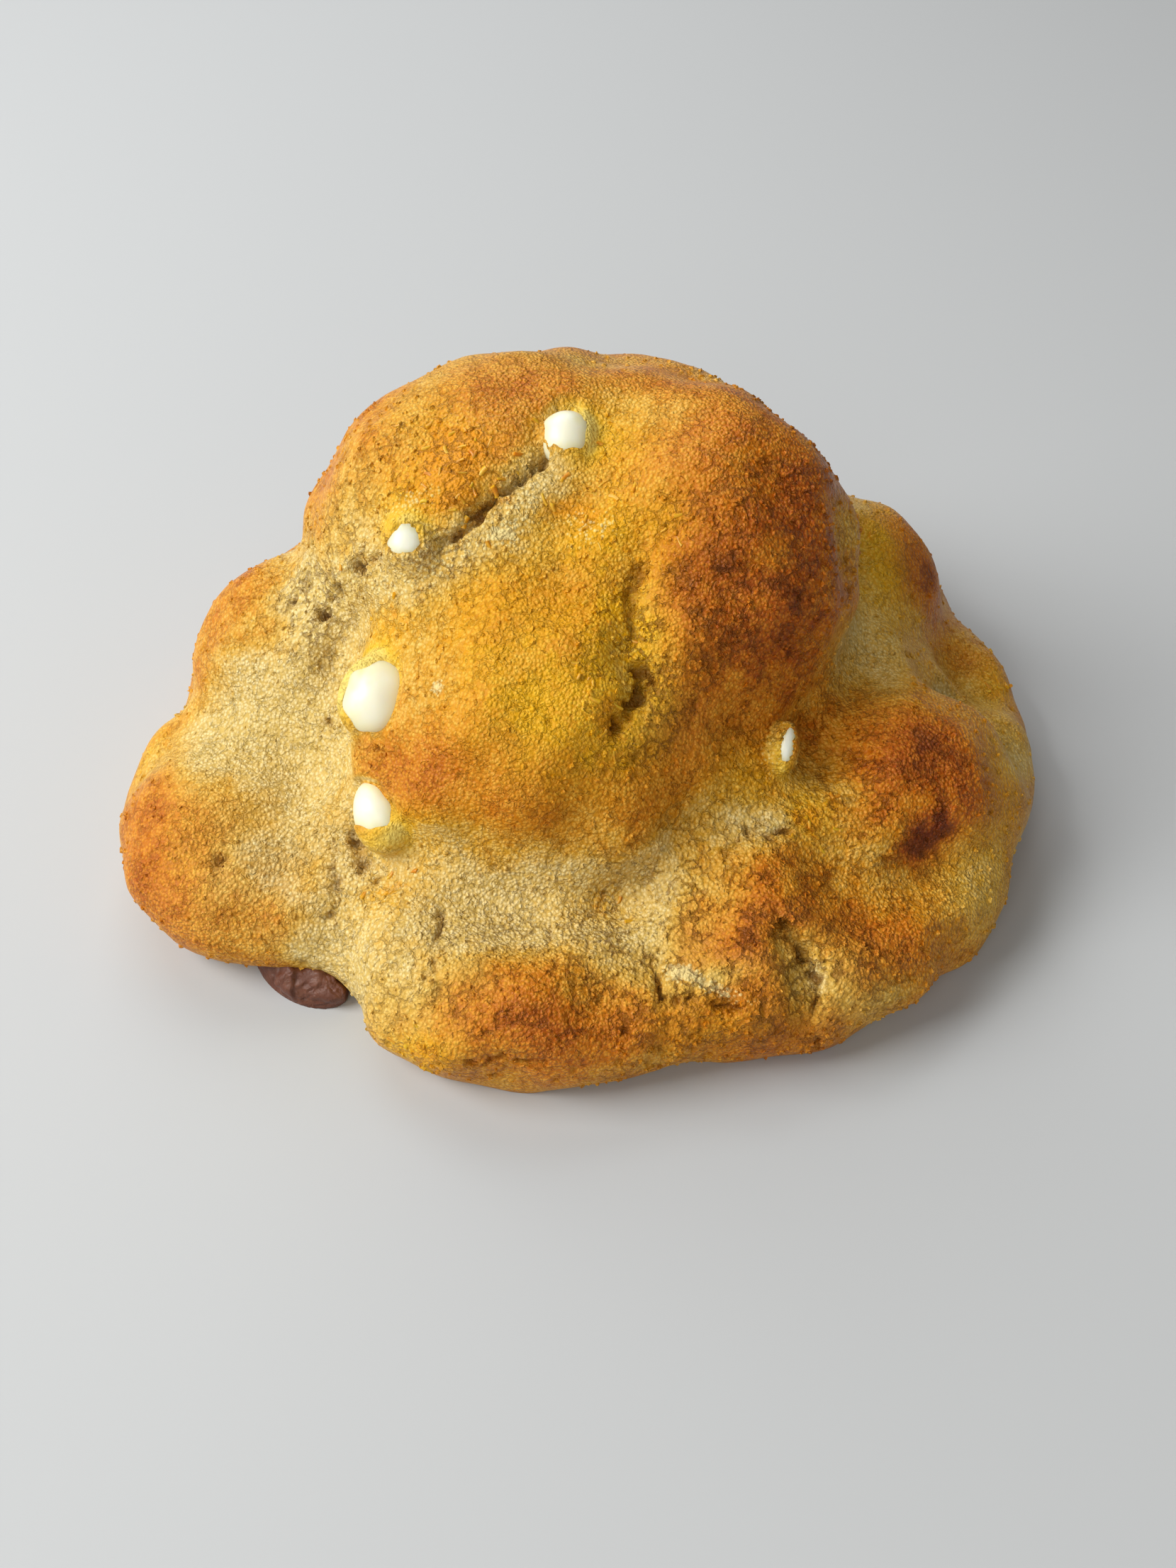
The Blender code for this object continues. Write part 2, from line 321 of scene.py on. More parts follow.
def film_side(points, name):
    """How far each point lies to the side of a chip where its film shows: about 1 at the chip's edge."""
    right, up = WINDOWS[name][5]
    toward = right * PICTURE_RIGHT + up * PICTURE_UP
    return (points - np.array(CHIPS[name][0])) @ toward / max(CHIPS[name][1])


def dough_distance(points):
    """About how far each point is outside the dough."""
    distances = [slab_distance(points)]
    distances += [ellipsoid_distance(points, *lump) for lump in LUMPS.values()]
    blended = -LUMP_BLEND * np.logaddexp.reduce(-np.array(distances) / LUMP_BLEND, axis=0)
    for path, reach, depth in HOLLOWS.values():
        blended += depth * np.exp(-np.square(path_distance(points, path) / reach))
    for number, length in enumerate(WAVE_LENGTHS):
        blended += WAVE_HEIGHT * waves(points, length, WAVE_SEED + number)
    return blended


def seated_distance(points):
    """The dough with its pits scooped out and its chips seated in it."""
    dough = dough_distance(points)
    for scoop in SCOOPS.values():
        pit = ellipsoid_distance(points, *scoop)
        dough = SCOOP_EDGE * np.logaddexp(dough / SCOOP_EDGE, -pit / SCOOP_EDGE)
    for name in CHIPS:
        chip = chip_distance(points, name)
        share = window_share(points, name)
        around = np.exp(-np.square(np.clip(chip, 0, None) / LIP_WIDTH))
        dough += WINDOW_DEPTH * around * np.clip(4.5 - 4 * share, 0, 1)
        film = chip - FILM_THICKNESS * np.clip(share, 0.3, 1) + WINDOW_DEPTH * np.clip(2 - 2 * share, 0, 1)
        dough = -SEAT_EDGE * np.logaddexp(-dough / SEAT_EDGE, -film / SEAT_EDGE)
    return dough


def reach_along(distance, start, directions, furthest, steps):
    """How far a surface is along each direction: a walk inward by three quarters of what is still free."""
    reach = furthest + np.zeros(len(directions))
    for _ in range(steps):
        reach -= 0.75 * distance(start + directions * reach[:, None])
    return reach


def at_pixels(pixels):
    """The points of the dough that pixels of the photograph show, in millimetres."""
    across, down = np.array(pixels, float).T
    rays = LOOK + PICTURE_RIGHT * ((across - PHOTO_WIDTH / 2) / FOCAL_PIXELS)[:, None]
    rays = rays + PICTURE_UP * ((PHOTO_HEIGHT / 2 - down) / FOCAL_PIXELS)[:, None]
    rays = rays / np.linalg.norm(rays, axis=1)[:, None]
    reach = np.full(len(rays), VIEW_START)
    for _ in range(VIEW_STEPS):
        reach += 0.8 * np.maximum(dough_distance(EYE + rays * reach[:, None]), 0)
    return EYE + rays * reach[:, None]


def dome_directions(cells):
    """Directions over the upper half sphere, from a square grid pressed into a disc, densest in front."""
    line = np.linspace(-1, 1, cells + 1)
    across, along = np.meshgrid(line, line)
    size = np.maximum(np.abs(across), np.abs(along))
    steep = np.abs(along) > np.abs(across)
    long_side = np.where(steep, along, across)
    short_side = np.where(steep, across, along)
    share = np.divide(short_side, long_side, out=np.zeros_like(size), where=size > 0)
    turn = math.pi / 4 * share
    bearing = np.where(steep, math.pi / 2 - turn, turn) + np.where(long_side < 0, math.pi, 0)
    place = size * np.exp(1j * bearing)
    place = (place - 1j * FRONT_SHARE) / (1 + 1j * FRONT_SHARE * place)
    place = np.where(size == 1, place / np.abs(place), place)
    from_top = np.abs(place) * math.pi / 2
    flat = np.sin(from_top) * np.exp(1j * np.angle(place))
    return np.stack([flat.real, flat.imag, np.cos(from_top)], axis=-1).reshape(-1, 3)


def noise_at(points, cell, seed):
    """Smooth noise between about -1 and 1, with features one cell across."""
    shift = Vector((seed * 17.3, seed * 7.1, seed * 3.7))
    return np.array([noise.noise(Vector(point) / cell + shift) for point in points])


PORE_CELL = 1.5
PORE_RADIUS = 0.36
PORE_DEPTH = 0.5


def pits_at(points, cell, seed, share):
    """Round pits: 1 in the middle of a pit and 0 outside, in a share of the cells."""
    shift = Vector((seed * 11.9, seed * 5.3, seed * 8.7))
    depths = np.zeros(len(points))
    for number, point in enumerate(points):
        distances, centres = noise.voronoi(Vector(point) / cell + shift)
        if noise.cell(centres[0] * 7.7) * 0.5 + 0.5 < share[number]:
            depths[number] = max(0.0, 1 - distances[0] / PORE_RADIUS)
    return depths


# Patches of the crust, each as the photograph's pixel at its middle, its half sizes in pixels, its tilt in
# degrees and its strength. Browned and red ones are baked darker, yellow ones are rich in lemon, pale ones
# stayed damp, cream ones are bare filling or chocolate, zest ones hold peel, and porous ones are open crumb.
# Some browned ones are painted shade, on the face, at the crown's front and in the recess under the right
# bulge, as is the red one there, and the pale ones on the left lobe and the top edge are painted sheen.
PIXELS_PER_MM = 13.4
PATCH_DEPTH = 1.3
PATCHES = {
    "browned_and_shade": {
        "crown_right": (1080, 720, 110, 200, -10, 0.23), "crown_right_low": (1050, 950, 120, 130, 0, 0.3),
        "crown_dark": (1140, 720, 40, 80, -15, 0.14), "crown_top": (740, 520, 120, 45, 0, 0.1),
        "crown_left_shreds": (640, 640, 95, 60, -30, 0.06), "face_ridge": (760, 845, 130, 40, 0, 0.34),
        "face_left_low": (575, 1092, 70, 50, 30, 0.3), "face_low": (740, 1150, 200, 50, -4, 0.06),
        "face_low_right": (960, 1110, 110, 80, 0, 0.08), "left_lobe": (320, 1250, 130, 90, 20, 0.06),
        # Painted shade: the patches at the middle and lower face and at the crown's front, which turn from
        # the light.
        "face_middle": (800, 960, 120, 120, 0, 0.12), "crown_front_shade": (955, 790, 70, 90, 0, 0.16),
        "face_lower_shade": (790, 1070, 120, 50, 0, 0.14),
        "left_lobe_edge": (215, 1200, 50, 120, 10, 0.25), "front_bottom": (770, 1450, 150, 60, 0, 0.3),
        "front_right": (1040, 1290, 130, 80, 10, 0.36),
        # Painted shade: the patch in the recess under the right bulge, over the bulge's own browning.
        "right_bulge": (1260, 1050, 150, 90, -42, 0.52), "bulge_recess_shade": (1312, 1180, 50, 22, 40, 0.75),
        "right_hill": (1310, 830, 130, 40, -55, 0.4), "front_right_rim": (1080, 1450, 160, 50, -12, 0.4),
        "front_right_low": (1230, 1320, 90, 60, -20, 0.3)},
    "red": {
        "crown_dark": (1140, 710, 60, 110, -15, 0.45), "lobe_gloss": (375, 1240, 60, 60, 0, 0.6),
        "lobe_low": (290, 1290, 100, 50, 25, 0.3), "face_left_low": (570, 1085, 50, 36, 30, 0.5),
        # Painted shade: the patch in the recess under the right bulge.
        "crown_top": (690, 525, 80, 30, 0, 0.4), "bulge_recess_shade": (1315, 1172, 50, 26, 40, 0.8),
        "front_ridge": (830, 700, 60, 30, 0, 0.5)},
    "yellow": {
        "over_chip_left": (525, 925, 45, 40, 0, 0.8), "over_chip_upper": (575, 705, 60, 40, 20, 0.7),
        "under_chip_lower": (590, 1180, 50, 50, 0, 0.6), "face_right": (880, 930, 50, 110, 0, 0.9),
        "face_middle": (790, 1040, 90, 70, -10, 0.65), "face_low_left": (720, 970, 80, 70, 0, 0.45),
        "bright_right": (1145, 1150, 26, 34, 0, 0.9), "below_chip_right": (1060, 1100, 60, 45, 0, 0.5),
        "front_rim": (590, 1485, 50, 24, 10, 0.9), "front_left": (545, 1265, 60, 30, 10, 0.5),
        "far_right_rim": (1405, 965, 24, 50, -20, 0.7), "right_valley_top": (1230, 780, 44, 80, 0, 0.9),
        "right_valley": (1240, 880, 60, 110, 0, 0.45), "right_rim": (1425, 1080, 40, 140, -5, 0.4),
        "right_rim_low": (1385, 1250, 60, 60, -30, 0.4), "chip_top_side": (860, 620, 50, 60, 0, 0.7),
        "face_top": (720, 850, 150, 80, -15, 0.5), "ridge": (850, 740, 90, 50, 0, 0.7),
        "left_edge": (205, 1060, 26, 60, -25, 0.55), "hollow": (840, 1270, 60, 34, 0, 0.5),
        "front_right_low": (1010, 1440, 90, 40, 0, 0.4), "crown_left": (620, 610, 90, 50, -35, 0.4)},
    "pale": {
        "left_valley": (340, 1030, 110, 60, 25, 0.75), "left_of_chips": (450, 1000, 60, 120, 0, 0.6),
        "left_slope": (430, 1170, 110, 110, 0, 0.35), "split_lip": (600, 795, 120, 36, 20, 1.0),
        "split_lip_top": (750, 690, 50, 40, 30, 0.8), "split_left": (455, 840, 60, 70, 0, 0.8),
        "right_valley": (1232, 880, 42, 90, 0, 0.5), "hill_top": (1215, 710, 50, 40, 20, 0.6),
        "right_rim": (1430, 1050, 34, 110, -5, 0.5), "right_rim_low": (1385, 1260, 60, 50, -30, 0.5),
        "front_hollow": (810, 1280, 150, 50, 0, 0.6), "front_left": (520, 1390, 120, 90, 20, 0.7),
        "front_middle": (920, 1345, 60, 60, 0, 0.6), "cream_streak": (1000, 1385, 50, 16, 20, 1.0),
        "below_right_chip": (1090, 1160, 70, 26, 0, 0.5), "front_right_edge": (1180, 1400, 90, 60, -30, 0.5),
        "face_split": (895, 900, 34, 80, 0, 0.6), "face_split_low": (885, 1010, 60, 40, 0, 0.5),
        "front_left_high": (640, 1330, 60, 50, 0, 0.3), "upper_chip": (500, 740, 50, 60, 0, 0.5),
        # Painted sheen: the patches on the left lobe and along the top edge, lighter where they catch the
        # light.
        "left_lobe": (350, 1225, 90, 60, 20, 0.4), "top_edge_sheen": (700, 500, 190, 30, 0, 0.35)},
    "cream": {
        "cream_streak": (1000, 1390, 52, 9, -22, 0.9), "streak_end": (955, 1372, 22, 12, 10, 0.7),
        "buried_chip": (830, 745, 44, 24, 0, 0.45), "split_lip": (600, 800, 110, 22, 20, 0.5),
        "split_lip_top": (740, 702, 40, 22, 40, 0.45), "dry_spot": (715, 755, 20, 14, 0, 0.9),
        "flake": (617, 970, 9, 11, 0, 1.0), "beside_upper_chip": (585, 705, 40, 14, 25, 0.6),
        "above_chip_right": (1090, 1070, 24, 30, 0, 0.35)},
    "zest": {
        "crown_left": (650, 630, 80, 75, -35, 1.0), "crown_left_low": (610, 705, 60, 40, 0, 0.7),
        "front_ridge": (830, 715, 70, 40, 0, 0.8), "face_right": (870, 930, 30, 100, 0, 0.5),
        "face_right_low": (850, 1010, 50, 40, 0, 0.7), "below_chip_right": (1150, 1150, 34, 50, 0, 0.9),
        "front_rim": (590, 1485, 50, 26, 10, 0.9), "far_right_rim": (1405, 965, 22, 50, -20, 0.9),
        "under_chip_lower": (560, 1245, 40, 24, 0, 0.6), "face_top": (560, 860, 60, 34, -20, 0.4),
        "front_hollow": (845, 1280, 40, 30, 0, 0.4)},
    "porous": {
        "crown_right": (1080, 800, 120, 260, -5, 0.9), "front_right": (1080, 1330, 220, 130, -10, 0.9),
        "face_right": (900, 950, 60, 130, 0, 1.0), "front": (800, 1420, 260, 110, 0, 0.7),
        "right_bulge": (1250, 1120, 110, 130, 0, 0.8), "split_left": (450, 860, 60, 80, 0, 0.9),
        "split": (600, 770, 140, 60, -20, 0.8), "crown_left": (620, 640, 120, 70, -30, 0.6)},
}


def patch_mask(points, ragged, kind):
    """How strongly each point lies in the patches of one kind, from 0 to 1, fading out raggedly."""
    total = np.zeros(len(points))
    patches = list(PATCHES[kind].values())
    middles = at_pixels([patch[:2] for patch in patches])
    for middle, (_, _, half_across, half_down, tilt, strength) in zip(middles, patches):
        offset = (points - middle) * PIXELS_PER_MM
        along, beside = turned(offset @ PICTURE_RIGHT, offset @ PICTURE_UP, tilt)
        spread = np.hypot(along / half_across, beside / half_down)
        deep = offset @ LOOK
        spread = np.hypot(spread, deep / (PATCH_DEPTH * max(half_across, half_down)))
        total += strength * np.exp(-np.square(np.clip(0.9 * spread - ragged, 0, None)))
    return np.clip(total, 0, 1)


# Torn splits in the crust, each as the photograph's pixels that it runs through, its half width and its depth
# in millimetres, and how far its lower lip stands up.
SPLITS = {
    "crown": (((455, 870), (480, 835), (520, 790), (580, 778), (640, 765), (672, 728), (705, 702), (750, 668),
               (768, 640), (770, 612)), 0.5, 1.6, 0.4),
    "face_top": (((905, 800), (885, 845), (893, 880), (890, 915)), 0.6, 1.0, 0.0),
    "face_low": (((893, 935), (915, 955), (905, 985), (880, 1000), (866, 1035)), 0.7, 1.3, 0.0),
    "left_crack": (((440, 780), (425, 830), (395, 880)), 0.4, 0.7, 0.0),
    "under_chip_left": (((455, 1020), (500, 1048), (545, 1062)), 0.4, 0.7, 0.0),
    "pit_low_left": (((500, 1180), (510, 1215), (530, 1238)), 0.9, 1.7, 0.0),
    "crack_low_left": (((470, 1190), (478, 1240), (468, 1290)), 0.4, 0.7, 0.0),
    "front_left": (((625, 1290), (618, 1340), (610, 1400)), 0.4, 0.7, 0.0),
    "right_chip_low": (((1052, 1170), (1090, 1178), (1125, 1160)), 0.4, 0.9, 0.0),
    "front_right_hole": (((1100, 1308), (1122, 1325), (1134, 1345)), 0.7, 2.0, 0.0),
    "front_right": (((1134, 1345), (1150, 1380), (1142, 1420), (1155, 1476)), 0.45, 1.1, 0.3),
    "rim_right": (((1225, 1335), (1260, 1345), (1290, 1335)), 0.4, 0.8, 0.0),
    "cream_edge": (((925, 1372), (932, 1405), (985, 1410), (1040, 1420)), 0.45, 1.1, 0.3),
    "front_fissure": (((880, 1455), (930, 1480), (962, 1505)), 0.4, 0.9, 0.0),
    "front_pores": (((660, 1500), (720, 1495), (780, 1508)), 0.4, 0.7, 0.0),
    "lobe_pit": (((309, 1212), (300, 1232)), 0.6, 0.9, 0.0),
}
# The unevenness of the crust, each as how wide and how high it is, and how far loose bits keep from the box
# and from the floor.
CRUMB_CELLS = {"coarse": (4.6, 0.12), "crumb": (2.1, 0.11), "grain": (0.9, 0.07)}
BIT_ROOM = 0.9
BIT_HEIGHT = 1.5


def split_relief(points):
    """How far splits, where the crust tore, push each point out, how deep it lies in one, and how near it is
    to one.
    """
    ragged = np.stack([noise_at(points, 1.6, seed) for seed in (21, 22, 23)], axis=1) * 0.8
    ragged += np.stack([noise_at(points, 0.7, seed) for seed in (25, 26, 27)], axis=1) * 0.4
    broken = np.clip(0.75 + 1.5 * noise_at(points, 2.4, 24), 0.0, 1.0)
    push = np.zeros(len(points))
    depth_share = np.zeros(len(points))
    beside = np.zeros(len(points))
    for pixels, half_width, depth, lip in SPLITS.values():
        path = at_pixels(pixels)
        away = path_distance(points + ragged, path)
        groove = np.exp(-np.square(away / half_width) ** 2) * broken
        below = -(points - np.mean(path, axis=0)) @ PICTURE_UP
        raised = lip * np.exp(-np.square((away - 2.2 * half_width) / 1.2)) * (below > 0)
        push += raised - depth * groove
        depth_share = np.maximum(depth_share, groove * min(1.0, depth))
        beside = np.maximum(beside, np.exp(-np.square((away - half_width) / 1.0)) * min(1.0, depth))
    return push, depth_share, beside


def dough_shape():
    """The roughened surface points of the dough, its faces, and its masks for the material."""
    directions = dome_directions(SURFACE_CELLS)
    first = reach_along(seated_distance, 0, dome_directions(FIRST_CELLS), FIRST_REACH, FIRST_STEPS)
    first = first.reshape(FIRST_CELLS + 1, -1)
    lines = np.linspace(0, 1, FIRST_CELLS + 1), np.linspace(0, 1, SURFACE_CELLS + 1)
    first = np.array([np.interp(lines[1], lines[0], column) for column in first.T]).T
    first = np.array([np.interp(lines[1], lines[0], line) for line in first])
    reach = reach_along(seated_distance, 0, directions, first.ravel() + LAST_LEAD, LAST_STEPS)
    points = directions * reach[:, None]
    row = SURFACE_CELLS + 1
    index = np.arange(row * row).reshape(row, row)
    rim = np.r_[index[0], index[-1], index[:, 0], index[:, -1]]
    points[rim, 2] = 0
    quads = np.stack([index[:-1, :-1], index[:-1, 1:], index[1:, 1:], index[1:, :-1]], axis=-1).reshape(-1, 4)
    foot = [*index[0, :-1], *index[:-1, -1], *index[-1, :0:-1], *index[:0:-1, 0]]
    grid = points.reshape(row, row, 3)
    normals = np.cross(np.gradient(grid, axis=1), np.gradient(grid, axis=0)).reshape(-1, 3)
    normals /= np.maximum(np.linalg.norm(normals, axis=1), 1e-9)[:, None]
    normals *= np.sign((normals * directions).sum(axis=1))[:, None]
    ragged = noise_at(points, 3.2, 3) * 0.3 + noise_at(points, 1.1, 4) * 0.2
    masks = {kind: patch_mask(points, ragged, kind) for kind in PATCHES}
    open_air = dough_distance(points + RAISED_REACH * normals) / RAISED_REACH
    masks["raised"] = np.clip(open_air * 2 - 1, 0, 1)
    film = np.zeros(len(points))
    bare = np.zeros(len(points))
    for name in CHIPS:
        near = np.exp(-np.square(np.clip(chip_distance(points, name), 0, None) / FILM_REACH))
        covered = near * np.clip(2.3 - window_share(points, name), 0, 1)
        film = np.maximum(film, covered * np.clip(film_side(points, name) + 0.3, 0, 1))
        bare = np.maximum(bare, near)
    push, painted_crack_shade, beside = split_relief(points)
    smooth = 1 - 0.75 * np.clip(bare, 0, 1)
    rough = smooth * (0.4 + 0.6 * masks["porous"])
    for cell, height in CRUMB_CELLS.values():
        push += height * noise_at(points, cell, 31) * rough
    pores = pits_at(points, PORE_CELL, 41, 0.06 + 0.42 * masks["porous"]) * smooth
    push -= PORE_DEPTH * pores
    lift = np.clip(points[:, 2] / FOOT_HEIGHT, 0, 1)
    points = points + normals * (push * lift)[:, None]
    low, high = (np.array(corner) / MM for corner in CAD_BOX)
    points = np.clip(points, low, high)
    points[rim, 2] = 0
    room = np.minimum(points - low, high - points)
    room[:, 2] = np.minimum(room[:, 2] - BIT_HEIGHT, high[2] - points[:, 2])
    inside = (room.min(axis=1) > BIT_ROOM) * (1 - np.clip(bare, 0, 1))
    masks["film"] = film
    # Painted shade: the grooves of the splits and the pits in the crust are coloured dark.
    masks["painted_crack_shade"] = np.clip(painted_crack_shade + 0.5 * pores, 0, 1)
    masks["loose"] = inside * np.clip(0.15 + 0.7 * masks["porous"] + 1.2 * beside, 0, 1)
    masks["zest"] = inside * masks["zest"]
    return points, [*quads.tolist(), foot[::-1]], masks


def link(tree, *pairs):
    """Joins sockets of a node tree, each pair as from and to."""
    for source, target in pairs:
        tree.links.new(source, target)


def node(tree, kind, settings=None, **inputs):
    """A new node with its settings and its numbered or named inputs set."""
    made = tree.nodes.new(kind)
    for setting, value in (settings or {}).items():
        setattr(made, setting, value)
    for socket, value in inputs.items():
        made.inputs[socket].default_value = value
    return made


def mixed(tree, share, first, second, blend="MIX"):
    """The colour output of a mix of two colours, by a share that is a socket or a number."""
    mix = node(tree, "ShaderNodeMix", {"data_type": "RGBA", "blend_type": blend})
    for socket, value in ((mix.inputs[0], share), (mix.inputs[6], first), (mix.inputs[7], second)):
        if isinstance(value, bpy.types.NodeSocket):
            tree.links.new(value, socket)
        else:
            socket.default_value = value
    return mix.outputs[2]


def sums(tree, operation, first, second, clamp=False):
    """The output of a maths node on two sockets or numbers."""
    made = node(tree, "ShaderNodeMath", {"operation": operation, "use_clamp": clamp})
    for socket, value in zip(made.inputs, (first, second)):
        if isinstance(value, bpy.types.NodeSocket):
            tree.links.new(value, socket)
        else:
            socket.default_value = value
    return made.outputs[0]


def times(tree, first, second, clamp=False):
    """The output of a node that multiplies two sockets or numbers."""
    return sums(tree, "MULTIPLY", first, second, clamp)


def plus(tree, start, value, share, clamp=False):
    """The output of nodes that add a share of a value to a start."""
    return sums(tree, "ADD", start, times(tree, value, share), clamp)


def above(tree, value, start, gain):
    """The output of nodes that rise from 0 to 1 as a value goes above a start."""
    return times(tree, sums(tree, "SUBTRACT", value, start), gain, clamp=True)


def under(tree, value, end, gain):
    """The output of nodes that rise from 0 to 1 as a value goes under an end."""
    return times(tree, sums(tree, "SUBTRACT", end, value), gain, clamp=True)


# The crumb's pattern: how many blotches and mottles are on a metre, how many pores and cracks there are for
# each grain, and how far cracks and grains stray in metres.
BLOTCHES_PER_METRE = 360.0
MOTTLES_PER_METRE = 95.0
PORES_PER_GRAIN = 0.38
CRACKS_PER_GRAIN = 0.26
CRACKS_ASTRAY = 0.0008
GRAINS_ASTRAY = 0.00012


def crumb_group():
    """A node group for baked crumb: its height, pale grains, pores, and its slow and its fine mottling."""
    group = bpy.data.node_groups.new("baked_crumb", "ShaderNodeTree")
    group.interface.new_socket("Grains per metre", in_out="INPUT", socket_type="NodeSocketFloat")
    for name in ("Height", "Grain", "Pores", "Mottle", "Blotch"):
        group.interface.new_socket(name, in_out="OUTPUT", socket_type="NodeSocketFloat")
    grains = group.nodes.new("NodeGroupInput").outputs[0]
    outs = group.nodes.new("NodeGroupOutput").inputs
    place = group.nodes.new("ShaderNodeTexCoord").outputs["Object"]
    fine = node(group, "ShaderNodeTexNoise", Detail=3.0, Roughness=0.6)
    blotch = node(group, "ShaderNodeTexNoise", Detail=3.0, Roughness=0.6, Scale=BLOTCHES_PER_METRE)
    wide = node(group, "ShaderNodeTexNoise", Detail=4.0, Roughness=0.6, Scale=MOTTLES_PER_METRE)
    holes = node(group, "ShaderNodeTexNoise", Detail=2.0, Roughness=0.7, Distortion=0.6)
    for pattern in (fine, blotch, wide, holes):
        link(group, (place, pattern.inputs["Vector"]))
    beads = node(group, "ShaderNodeTexVoronoi", {"feature": "F1"}, Randomness=1.0)
    edges = node(group, "ShaderNodeTexVoronoi", {"feature": "DISTANCE_TO_EDGE"}, Randomness=1.0)
    channels = group.nodes.new("ShaderNodeSeparateColor")
    astray = mixed(group, CRACKS_ASTRAY, place, fine.outputs["Color"], "ADD")
    shaken = mixed(group, GRAINS_ASTRAY, place, fine.outputs["Color"], "ADD")
    link(group, (grains, fine.inputs["Scale"]), (grains, beads.inputs["Scale"]),
         (times(group, grains, PORES_PER_GRAIN), holes.inputs["Scale"]),
         (times(group, grains, CRACKS_PER_GRAIN), edges.inputs["Scale"]),
         (astray, edges.inputs["Vector"]), (shaken, beads.inputs["Vector"]),
         (beads.outputs["Color"], channels.inputs[0]))
    rounded = sums(group, "MULTIPLY_ADD", beads.outputs["Distance"], -1.35)
    rounded.node.inputs[2].default_value = 1.0
    rounded.node.use_clamp = True
    bright = sums(group, "ADD", channels.outputs[0], 0.3)
    grain = times(group, rounded, times(group, bright, 1.5), clamp=True)
    cracked = above(group, blotch.outputs["Fac"], 0.44, 9.0)
    cracks = times(group, under(group, edges.outputs["Distance"], 0.1, 16.0), cracked)
    pores = sums(group, "MAXIMUM", under(group, holes.outputs["Fac"], 0.38, 14.0), cracks)
    height = plus(group, times(group, fine.outputs["Fac"], 0.8), rounded, 0.6)
    height = plus(group, height, pores, -0.7)
    link(group, (height, outs["Height"]), (grain, outs["Grain"]), (pores, outs["Pores"]),
         (wide.outputs["Fac"], outs["Mottle"]), (blotch.outputs["Fac"], outs["Blotch"]))
    return group


CRUMB = crumb_group()


def food_material(name, roughness, **skin):
    """A new material, its tree and its Principled surface, with how light goes under its skin if it does."""
    material = bpy.data.materials.new(name)
    material.use_nodes = True
    surface = material.node_tree.nodes["Principled BSDF"]
    surface.inputs["Roughness"].default_value = roughness
    for title, value in skin.items():
        surface.inputs["Subsurface " + title].default_value = value
    return material, material.node_tree, surface


def add_crumb(tree, surface, grains, strength, distance):
    """Puts the crumb group in a material, joined to the surface's normal through a bump."""
    crumb = tree.nodes.new("ShaderNodeGroup")
    crumb.node_tree = CRUMB
    crumb.inputs["Grains per metre"].default_value = grains
    bump = node(tree, "ShaderNodeBump", Strength=strength, Distance=distance)
    link(tree, (crumb.outputs["Height"], bump.inputs["Height"]),
         (bump.outputs["Normal"], surface.inputs["Normal"]))
    return crumb


# The colours of the crust and of its grains from raw to nearly burnt, and the tints of what else is in it,
# with a dark brown for the painted shade in the splits and pores.
DOUGH_ROUGHNESS = 0.38
DOUGH_SPECULAR = 0.22
CRUST_STOPS = (0.0, 0.2, 0.4, 0.6, 0.8, 1.0)
CRUST_COLOURS = (srgb(214, 178, 92), srgb(214, 158, 40), srgb(210, 134, 14), srgb(198, 110, 6),
                 srgb(170, 80, 4), srgb(92, 30, 2))
GRAIN_COLOURS = (srgb(253, 232, 170), srgb(251, 210, 112), srgb(245, 184, 70), srgb(234, 156, 44),
                 srgb(214, 128, 36), srgb(150, 72, 30))
TINTS = {
    "pale": srgb(218, 190, 104), "yellow": srgb(230, 168, 2), "yellow_grain": srgb(246, 202, 44),
    "red": srgb(164, 70, 34), "peel": srgb(234, 152, 22), "cream": srgb(246, 228, 160),
    "film": srgb(246, 206, 60), "skin": srgb(246, 226, 132), "painted_crack_shade": srgb(116, 62, 6)}


def baked_ramp(tree, bake, colours):
    """The colour that a bake between 0 and 1 gives."""
    ramp = node(tree, "ShaderNodeValToRGB")
    stops = ramp.color_ramp.elements
    for _ in range(len(CRUST_STOPS) - 2):
        stops.new(0.5)
    for stop, place, colour in zip(stops, CRUST_STOPS, colours):
        stop.position = place
        stop.color = colour
    link(tree, (bake, ramp.inputs["Fac"]))
    return ramp.outputs["Color"]


